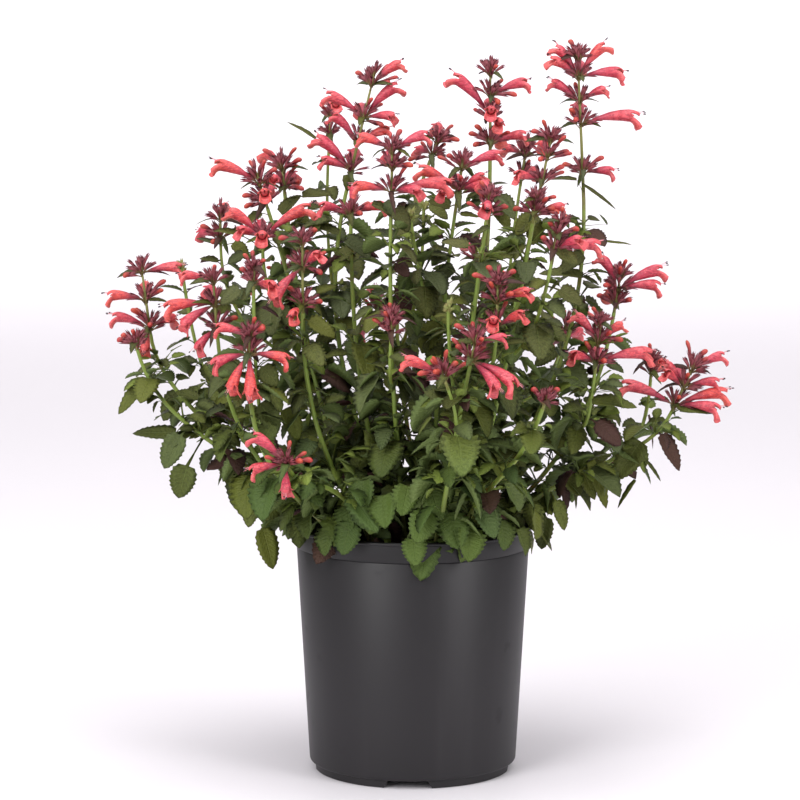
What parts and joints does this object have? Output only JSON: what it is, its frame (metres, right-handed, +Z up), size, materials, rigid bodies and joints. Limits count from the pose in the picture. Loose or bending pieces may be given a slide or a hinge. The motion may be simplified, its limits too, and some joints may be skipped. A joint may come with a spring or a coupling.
{
  "type": "potted agastache",
  "caption": "Bushy perennial with toothed leaves and spikes of coral tubular flowers on square stems, rooted in compost in a round charcoal nursery pot.",
  "frame": {"origin": "centre of the pot's foot, on the surface it stands on", "axes": "+Z up out of the pot, -Y towards the plant's front, +X to the right seen from the front"},
  "size_m": [0.4373, 0.3415, 0.5143],
  "materials": {
    "pot_plastic": "satin moulded plastic",
    "compost": "rough, crumbly",
    "foliage": "matte, slightly downy",
    "coral_flower": "soft satin",
    "plum_flower": "soft matte"
  },
  "bodies": {
    "root": {"pot": "pot_plastic", "potting_soil": "compost", "stem_01": "foliage", "stem_02": "foliage", "stem_03": "foliage", "stem_04": "foliage", "stem_05": "foliage", "stem_06": "foliage", "stem_07": "foliage", "stem_08": "foliage", "stem_09": "foliage", "stem_10": "foliage", "stem_11": "foliage", "stem_12": "foliage", "stem_13": "foliage", "stem_14": "foliage", "stem_15": "foliage", "stem_16": "foliage", "stem_17": "foliage", "stem_18": "foliage", "stem_19": "foliage", "stem_20": "foliage", "stem_21": "foliage", "stem_22": "foliage", "stem_23": "foliage", "stem_24": "foliage", "head_01": "coral_flower", "head_02": "plum_flower", "head_03": "coral_flower", "head_04": "coral_flower", "head_05": "coral_flower", "head_06": "coral_flower", "head_07": "coral_flower", "head_08": "coral_flower", "head_09": "coral_flower", "head_10": "coral_flower", "head_11": "coral_flower", "head_12": "plum_flower", "head_13": "coral_flower", "head_14": "coral_flower", "head_15": "plum_flower", "head_16": "coral_flower", "head_17": "coral_flower", "head_18": "coral_flower", "head_19": "coral_flower", "head_20": "coral_flower", "head_21": "coral_flower", "head_22": "coral_flower", "head_23": "coral_flower", "head_24": "coral_flower", "head_25": "coral_flower", "head_26": "coral_flower", "head_27": "coral_flower", "head_28": "coral_flower", "head_29": "coral_flower", "head_30": "coral_flower", "head_31": "coral_flower", "head_32": "coral_flower", "head_33": "coral_flower", "head_34": "coral_flower"}
  },
  "joints": []
}
